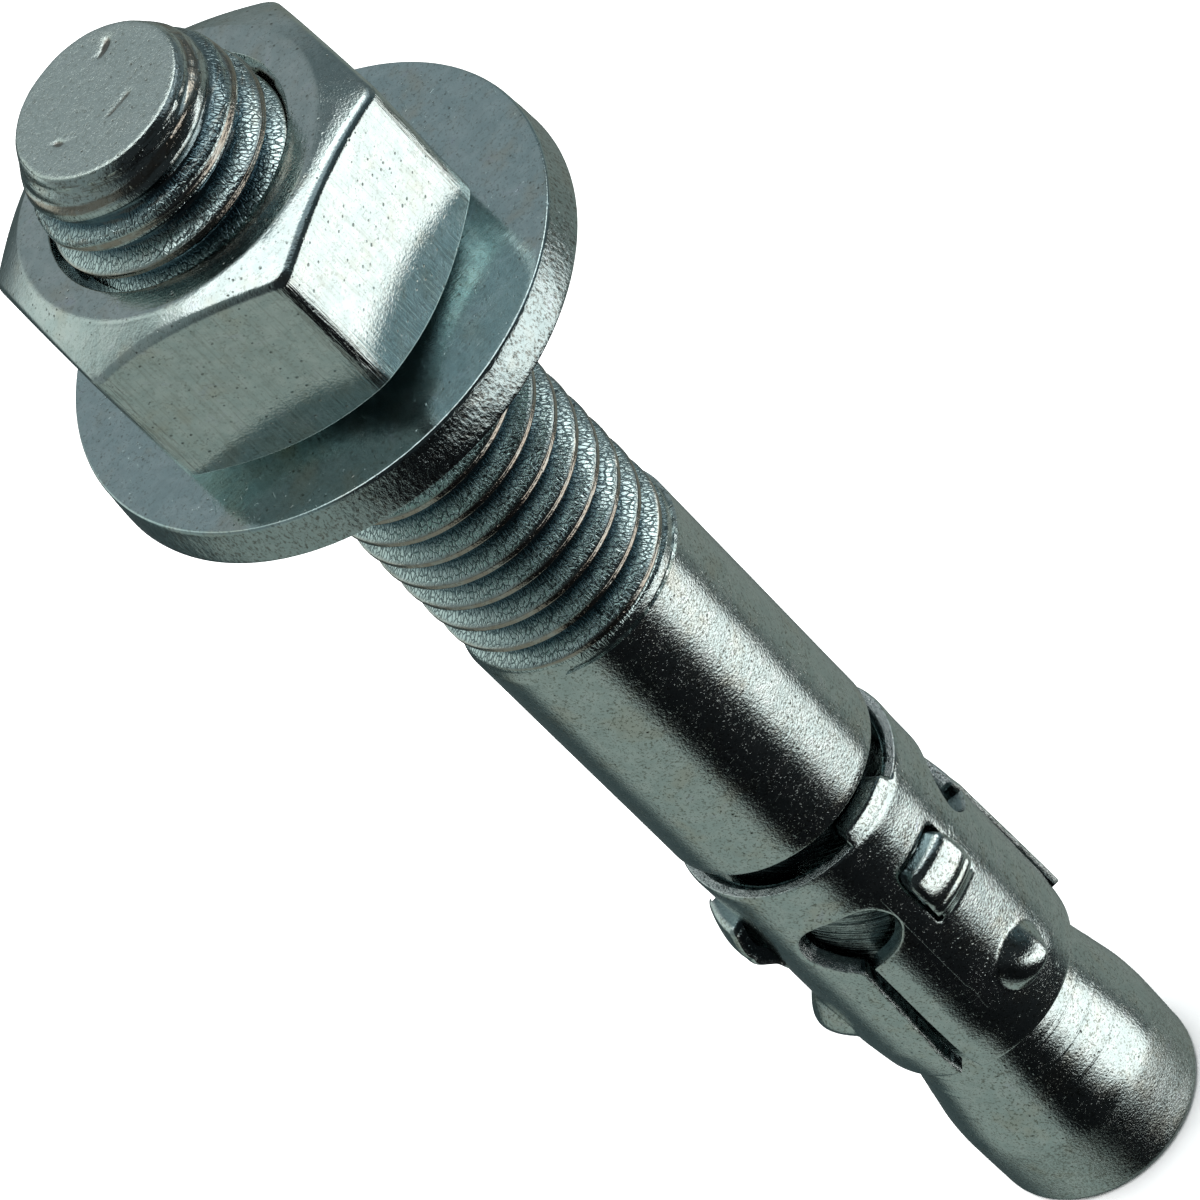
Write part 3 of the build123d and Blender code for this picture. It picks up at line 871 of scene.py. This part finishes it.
def profile_at(table, t):
    p = np.array(table)
    d = np.concatenate([[0], np.cumsum(np.hypot(*np.diff(p, axis=0).T))])
    d /= d[-1]
    return np.interp(t, d, p[:, 0]), np.interp(t, d, p[:, 1])


def make_clip(material):
    loops = clip_outline()
    # torn edges are ragged along their length
    ragged = []
    for line, rough in loops:
        nx = np.roll(line, -1, axis=0) - np.roll(line, 1, axis=0)
        nx = np.stack([nx[:, 1], -nx[:, 0]], -1) / np.maximum(np.hypot(nx[:, 0], nx[:, 1])[:, None], 1e-9)
        w = 0.030 * noise3(line[:, 0] + 60, line[:, 1] + 60, 3.3, 0.27) + 0.022 * noise3(line[:, 0] + 60, line[:, 1] + 60, 8.3, 0.6)
        ragged.append((line + nx * (w * rough)[:, None], rough))
    loops = ragged

    bound = np.concatenate([l for l, _ in loops])
    edges, k = [], 0
    for l, _ in loops:
        m = len(l)
        edges += [(k + i, k + (i + 1) % m) for i in range(m)]
        k += m

    # inner points: an even lattice, finer round the dimples, tabs, bends and the burr
    s0, s1 = -152.8 * K, 202.8 * K

    def lattice(a0, a1, z0, z1, d):
        xs = np.arange(a0, a1, d)
        zs = np.arange(z0, z1, d * 0.87)
        X, Zz = np.meshgrid(xs, zs)
        X = X + (np.arange(len(zs)) % 2)[:, None] * d / 2
        return np.stack([X.ravel(), Zz.ravel()], -1)

    zones = []
    for f in FINGERS:
        zones.append(("disc", f * K, DIMPLE_Z, 2.15, 0.13 if f == 22.5 else 0.17))
        zones.append(("rect", (f - 13.2) * K, (f + 13.2) * K, 24.8, 29.9, 0.15 if f == 22.5 else 0.19))
    zones.append(("rect", 40.0 * K, 53.5 * K, 27.35, 28.65, 0.07))
    zones.append(("rect", -31 * K, -20.5 * K, 14.3, 25.6, 0.17))
    base = np.concatenate([lattice(s0, s1, CLIP_LOW, CLIP_TOP, 0.33),
                           lattice(2.8 * K, 41 * K, CLIP_TOP + 0.1, NIB_TOP, 0.2)])
    keep = np.ones(len(base), bool)
    extra = []
    for zn in zones:
        if zn[0] == "disc":
            _, cx, cz, rad, d = zn
            keep &= (base[:, 0] - cx) ** 2 + (base[:, 1] - cz) ** 2 > rad ** 2
            q = lattice(cx - rad, cx + rad, cz - rad, cz + rad, d)
            extra.append(q[(q[:, 0] - cx) ** 2 + (q[:, 1] - cz) ** 2 < (rad - 0.05) ** 2])
        else:
            _, a0, a1, z0, z1, d = zn
            keep &= ~((base[:, 0] > a0) & (base[:, 0] < a1) & (base[:, 1] > z0) & (base[:, 1] < z1))
            extra.append(lattice(a0 + d / 2, a1, z0 + d / 2, z1, d))
    inner_pts = np.concatenate([base[keep]] + extra)
    inner_pts = inner_pts[in_loops(inner_pts, loops)]
    d = edge_distance(inner_pts, loops)
    inner_pts = inner_pts[d > 0.20]
    # two rings of points just inside every edge carry its roundness
    rings = []
    for l, _ in loops:
        t = np.roll(l, -1, axis=0) - np.roll(l, 1, axis=0)
        nrm = np.stack([-t[:, 1], t[:, 0]], -1) / np.maximum(np.hypot(t[:, 0], t[:, 1])[:, None], 1e-9)
        for off in (0.055, 0.125):
            for sgn in (1, -1):
                rings.append(l + nrm * off * sgn)
    rings = np.concatenate(rings)
    rings = rings[in_loops(rings, loops)]
    dr = edge_distance(rings, loops)
    rings = rings[dr > 0.040]
    pts = np.concatenate([bound, rings, inner_pts])

    res = delaunay_2d_cdt([Vector((float(a), float(b))) for a, b in pts], edges, [], 0, 1e-6)
    V2 = np.array([(v[0], v[1]) for v in res[0]])
    tris = np.array([f for f in res[2] if len(f) == 3])
    cen = V2[tris].mean(1)
    tris = tris[in_loops(cen, loops)]
    e1, e2 = V2[tris[:, 1]] - V2[tris[:, 0]], V2[tris[:, 2]] - V2[tris[:, 0]]
    area = e1[:, 0] * e2[:, 1] - e1[:, 1] * e2[:, 0]
    tris = tris[np.abs(area) > 1e-7]
    area = area[np.abs(area) > 1e-7]
    tris[area < 0] = tris[area < 0][:, ::-1]
    used = np.unique(tris)
    remap = -np.ones(len(V2), int)
    remap[used] = np.arange(len(used))
    V2, tris = V2[used], remap[tris]

    az, z = V2[:, 0] / K, V2[:, 1]
    ed = edge_distance(V2, loops)
    ro, zo, ri, zi = clip_shape(az, z, ed)
    for f in FINGERS:
        on = (np.abs(wrap_az(az, f)) <= TAB_HALF + 0.75) & (z > 25.0) & (z < 29.9)
        t = (z[on] - 25.0) / (29.78 - 25.0)
        po, qo = profile_at(TAB_OUT, np.clip(t, 0, 1))
        pi_, qi = profile_at(TAB_IN, np.clip(t, 0, 1))
        roll = 0.15 * np.clip(1 - ed[on] / 0.30, 0, 1) ** 2 * sstep(z[on], 25.2, 25.9)
        crown = -0.05 * (np.abs(wrap_az(az[on], f)) / TAB_HALF) ** 2 * sstep(z[on], 25.3, 26.5)
        ro[on], zo[on], ri[on], zi[on] = po - roll + crown, qo - 0.3 * roll * (t > 0.8), pi_, qi
        # the pressed-out part spreads to the left, over the edge of its window
        spread = sstep(po, 6.75, 7.45) * np.clip(-wrap_az(az[on], f) / TAB_HALF, 0, 1.06) ** 2
        az[on] = az[on] - 2.6 * spread
    # top edge: sheared, its inner part broken away downwards
    clean = sstep(az, 2.2, 3.2) * (1 - sstep(az, 40.6, 41.6))
    top = sstep(z, 33.55, 33.85) * (1 - clean)
    zi = zi + top * (0.03 * ring_noise(az, z, 0.5, seed=81) - 0.42)
    n2 = len(V2)
    verts = [cyl(az, ro, zo), cyl(az, ri, zi)]
    cut = [np.zeros(n2), np.zeros(n2)]
    faces = tris.tolist() + (tris[:, ::-1] + n2).tolist()

    # walls: every edge used by one triangle
    he = np.concatenate([tris[:, [0, 1]], tris[:, [1, 2]], tris[:, [2, 0]]])
    seen = {}
    for a, b in he.tolist():
        seen[(a, b)] = True
    rim = [(a, b) for a, b in seen if (b, a) not in seen]
    rim_v = sorted({v for e in rim for v in e})
    idx = {v: i for i, v in enumerate(rim_v)}
    rv = np.array(rim_v)
    nxt, prv = {a: b for a, b in rim}, {b: a for a, b in rim}
    tang = np.array([V2[nxt[v]] - V2[prv[v]] for v in rim_v])
    tang /= np.maximum(np.hypot(tang[:, 0], tang[:, 1])[:, None], 1e-9)
    outw = np.stack([tang[:, 1], -tang[:, 0]], -1)
    rough_all = np.concatenate([r for _, r in loops])
    allp = np.concatenate([l for l, _ in loops])
    rgh = np.array([rough_all[np.argmin(((allp - V2[v]) ** 2).sum(1))] for v in rim_v])
    on_top = (z[rv] > 33.5)
    is_clean = sstep(az[rv], 2.6, 3.2) * (1 - sstep(az[rv], 40.6, 41.2)) * on_top
    in_eye = np.zeros(len(rv))
    for e0, e1 in ((-60.0, -36.4), (90.2, 112.0)):
        in_eye = np.maximum(in_eye, ((az[rv] > e0) & (az[rv] < e1) & (z[rv] > 25.4) & (z[rv] < 30.6)))
    rgh = rgh * (1 - is_clean)
    start = 2 * n2
    cuts = [0.0, 0.07, 0.18, 0.32, 0.50, 0.75, 1.0]
    layers_n = len(cuts) - 1
    # deep: painted shade, darker the further into a cut wall and along the inner face's rims
    deep = [np.zeros(n2), np.zeros(n2)]
    for L in range(1, layers_n):
        u = cuts[L]
        bend = np.where((z[rv] > 33.5) & (is_clean < 0.5), np.clip((u - 0.55) / 0.45, 0, 1), u)
        ra, za = ro[rv] * (1 - u) + ri[rv] * u, zo[rv] * (1 - bend) + zi[rv] * bend
        jit = (0.030 * noise3(V2[rv, 0] + 70, V2[rv, 1] + 70, u * 1.9 + 5, 0.22)
               + 0.014 * noise3(V2[rv, 0] + 70, V2[rv, 1] + 70, u * 1.9 + 25, 0.11)) * rgh
        lip = (0.032, 0.050, 0.050, 0.030, 0.010)[L - 1] * np.clip(rgh - 0.2, 0, 1) * (1 - on_top)
        s2 = V2[rv] + outw * (jit + lip)[:, None]
        verts.append(cyl(s2[:, 0] / K, ra, za + (s2[:, 1] - V2[rv, 1])))
        skin = (1.0, 0.8, 0.1, 0.0, 0.0)[L - 1]
        skin = np.where(on_top & (u < 0.6), 1.0, skin)
        skin = np.maximum(skin, in_eye * (1.0 if u < 0.6 else 0.3))
        cut.append(skin * np.clip(rgh * 1.3, 0, 1) * (1 - is_clean))
        deep.append(np.clip((u - 0.12) / 0.2, 0, 1) * (1 - on_top * (u < 0.6)) * (1 - is_clean) * (1 - 0.6 * in_eye))
    m = len(rim_v)

    def vid(v, L):
        if L == 0:
            return v
        if L == layers_n:
            return v + n2
        return start + (L - 1) * m + idx[v]

    for a, b in rim:
        for L in range(layers_n):
            faces.append([vid(b, L), vid(a, L), vid(a, L + 1), vid(b, L + 1)])
    # cut-edge texture at the rims of both faces, coloured below with painted glints and painted shade specks
    cut[0][rv] = 0.35 * rgh
    cut[1][rv] = 0.3 * rgh
    # painted shade along the inner face's rim
    deep[1][rv] = 1.0
    V = np.concatenate(verts)
    return make_piece("clip", V, faces, {"cut": np.concatenate(cut), "deep": np.concatenate(deep)}, material, "clip",
                      "expansion_clip", sharp=40)


def clip_detail(n, m):
    cut = n.layer("cut")
    p, x, y, z = m["p"], m["x"], m["y"], m["z"]
    torn = n.noise(n.vec("MULTIPLY", p, (1.0, 1.0, 0.6)), 6.5, 4.0, 0.75)
    # one long fine handling scratch down the front
    jog = n.mul(n.step(z, 19.0, 19.6), n.step(z, 20.8, 20.2), -0.10)
    line = n.math("ABSOLUTE", n.add(x, 0.50, jog, n.mul(n.noise(n.comb(0.0, 0.0, z), 0.8, 2.0), 0.08)))
    line = n.mul(n.step(line, 0.045, 0.012), n.step(z, 18.1, 18.4), n.step(z, 30.0, 29.6), n.step(y, -4.0, -5.0))
    height = n.add(m["height"], n.mul(cut, torn, 0.085), n.mul(line, 0.006))
    # painted shade: dark teal inside the slits, cut walls and inner rims
    col = n.mix(n.mul(n.layer("deep"), 0.80), m["col"], (0.12, 0.19, 0.21))
    # torn edge texture, partly real and partly painted light: near-black painted shade specks and near-white painted
    # glints
    col = n.mix(n.mul(cut, n.step(torn, 0.44, 0.33), 0.75), col, (0.06, 0.08, 0.08))
    col = n.mix(n.mul(cut, n.step(torn, 0.42, 0.52), 0.85), col, (0.97, 0.99, 0.99))
    rough = n.mul(m["rough"], n.add(1.0, n.mul(cut, -0.45)))
    return height, col, rough


body_mat = zinc("body_zinc", speckle=0.016, wave=0.004, pits=0.016, extra=body_detail)
nut_mat = zinc("nut_zinc", speckle=0.009, wave=0.006, pits=0.014, dull=0.10, dusty=0.45,
               extra=nut_detail)
washer_mat = zinc("washer_zinc", speckle=0.006, wave=0.005, pits=0.010, scratch=0.022, dull=0.25,
                  dusty=0.5, tint=(0.90, 0.97, 1.0), extra=washer_detail)
clip_mat = zinc("clip_zinc", speckle=0.015, wave=0.005, pits=0.014, dull=0.75, extra=clip_detail)

make_body(body_mat)
make_nut(nut_mat)
make_washer(washer_mat)
make_clip(clip_mat)


# ---------------------------------------------------------------- stage and light

def make_stage():
    me = bpy.data.meshes.new("floor")
    s = 3.0
    me.from_pydata([(-s, -s, 0), (s, -s, 0), (s, s, 0), (-s, s, 0)], [], [(0, 1, 2, 3)])
    floor = bpy.data.objects.new("floor", me)
    bpy.context.scene.collection.objects.link(floor)
    mat = bpy.data.materials.new("floor")
    mat.use_nodes = True
    n = Nodes(mat.node_tree)
    b = n.new("ShaderNodeBsdfDiffuse")
    b.inputs["Color"].default_value = (0.93, 0.93, 0.93, 1)
    o = n.new("ShaderNodeOutputMaterial")
    n.put(o.inputs[0], b.outputs[0])
    me.materials.append(mat)
    floor.visible_glossy = False
    floor.visible_shadow = False
    return floor


def make_world():
    """A dark studio seen only in the metal: a panel low at the right, a pale wall at the
    left, a dim blue-grey wall behind and a soft overhead panel. The camera itself sees
    a plain pale background."""
    world = bpy.data.worlds.new("studio")
    bpy.context.scene.world = world
    world.use_nodes = True
    n = Nodes(world.node_tree)
    d = n.new("ShaderNodeTexCoord").outputs["Generated"]
    x, y, z = n.xyz(d)
    az = n.mul(n.math("ARCTAN2", x, n.mul(y, -1.0)), 57.29578)
    el = n.mul(n.math("ARCSINE", z), 57.29578)

    def ramp(stops, value):
        r = n.new("ShaderNodeValToRGB")
        e = r.color_ramp.elements
        while len(e) > 1:
            e.remove(e[-1])
        e[0].position = (stops[0][0] + 180.0) / 360.0
        e[0].color = (*stops[0][1], 1)
        for pos, c in stops[1:]:
            q = e.new((pos + 180.0) / 360.0)
            q.color = (*c, 1)
        n.put(r.inputs[0], n.step_lin(value))
        return r.outputs[0]

    def lin(v):
        q = n.new("ShaderNodeMapRange", interpolation_type="LINEAR")
        for s_, v_ in zip(q.inputs[:5], (v, -180.0, 180.0, 0.0, 1.0)):
            n.put(s_, v_)
        return q.outputs[0]

    n.step_lin = lin
    black = (0.004, 0.0045, 0.005)
    teal = (0.050, 0.072, 0.074)
    grey = (0.275, 0.325, 0.30)
    grey2 = (0.225, 0.26, 0.24)
    low = ramp([(-180, (0.09, 0.115, 0.115)), (-150, teal), (-124, teal), (-112, grey), (-80, grey), (-44, (0.29, 0.335, 0.31)),
                (-36, (0.05, 0.055, 0.055)), (-31, black), (78, (0.02, 0.022, 0.024)), (90, (0.10, 0.12, 0.12)),
                (100, grey2), (150, grey2), (180, (0.09, 0.115, 0.115))], az)
    high = ramp([(-180, (0.27, 0.31, 0.325)), (-162, (0.26, 0.30, 0.31)), (-146, (0.64, 0.72, 0.69)), (-128, (0.58, 0.66, 0.63)),
                 (-112, (0.22, 0.26, 0.26)), (-60, (0.17, 0.21, 0.21)), (-40, (0.02, 0.024, 0.026)), (40, (0.02, 0.024, 0.026)),
                 (70, (0.06, 0.09, 0.10)), (105, (0.12, 0.15, 0.16)), (140, (0.12, 0.155, 0.165)), (158, (0.24, 0.28, 0.29)),
                 (180, (0.27, 0.31, 0.325))], az)
    base = n.mix(n.step(el, -16.0, 8.0), low, high)
    side = n.mul(n.step(az, 44.0, 58.0), n.step(az, 132.0, 112.0), n.step(el, 20.0, 32.0))
    over = n.mix(side, base, (0.34, 0.42, 0.46))
    wing = n.mul(n.step(az, 72.0, 86.0), n.step(az, 134.0, 122.0), n.step(el, 34.0, 44.0))
    over = n.mix(wing, over, (1.8, 1.9, 1.88))

    # right panel, wider higher up
    a0 = n.math("MAXIMUM", n.add(n.mul(n.add(el, 43.0), -1.22), 33.0), 8.0)
    inside = n.mul(n.step(n.add(az, n.mul(a0, -1.0)), -5.0, 11.0),
                   n.step(az, 82.0, 75.0), n.step(el, -47.6, -46.4), n.step(el, -10.0, -17.0))
    # overhead panel
    roof = n.mul(n.step(z, 0.885, 0.935), n.step(y, -0.20, -0.02))
    lit = n.mix(inside, over, (1.52, 1.56, 1.53))
    lit = n.mix(roof, lit, (1.42, 1.49, 1.49))

    bg = n.new("ShaderNodeBackground")
    n.put(bg.inputs["Color"], lit)
    bg.inputs["Strength"].default_value = 1.0
    plain = n.new("ShaderNodeBackground")
    plain.inputs["Color"].default_value = (0.93, 0.93, 0.93, 1)
    plain.inputs["Strength"].default_value = 1.0
    path = n.new("ShaderNodeLightPath")
    m = n.new("ShaderNodeMixShader")
    n.put(m.inputs[0], path.outputs["Is Camera Ray"])
    n.put(m.inputs[1], bg.outputs[0])
    n.put(m.inputs[2], plain.outputs[0])
    o = n.new("ShaderNodeOutputWorld")
    n.put(o.inputs[0], m.outputs[0])


def make_lights():
    def area(name, loc, size, power, aim=(0, 0, 0.03)):
        d = bpy.data.lights.new(name, "AREA")
        d.shape = "SQUARE"
        d.size = size
        d.energy = power
        ob = bpy.data.objects.new(name, d)
        ob.location = loc
        ob.rotation_euler = (Vector(aim) - Vector(loc)).to_track_quat("-Z", "Y").to_euler()
        ob.visible_glossy = False
        ob.visible_camera = False
        bpy.context.scene.collection.objects.link(ob)

    area("overhead", (-0.15, 0.1, 0.9), 1.1, 19.0)


def make_camera():
    cam = bpy.data.cameras.new("camera")
    cam.sensor_width = 36.0
    cam.sensor_fit = "HORIZONTAL"
    cam.lens = 7305.0 / 1200.0 * 36.0
    cam.clip_start = 0.01
    cam.clip_end = 20.0
    ob = bpy.data.objects.new("camera", cam)
    e = math.radians(42.84)
    back = Vector((0, -math.cos(e), math.sin(e)))          # camera looks along -back
    up0, right0 = Vector((0, math.sin(e), math.cos(e))), Vector((1, 0, 0))
    c = math.sqrt(0.5)
    right = (right0 - up0) * c
    up = (right0 + up0) * c
    rot = Matrix((right, up, back)).transposed()
    place = Vector((0.00015, -0.3628 * math.cos(e), 0.05229 + 0.3628 * math.sin(e)))
    ob.matrix_world = Matrix.Translation(place) @ rot.to_4x4()
    bpy.context.scene.collection.objects.link(ob)
    bpy.context.scene.camera = ob


make_stage()
make_world()
make_lights()
make_camera()
bpy.context.scene.view_settings.view_transform = "Standard"
bpy.context.scene.view_settings.look = "None"
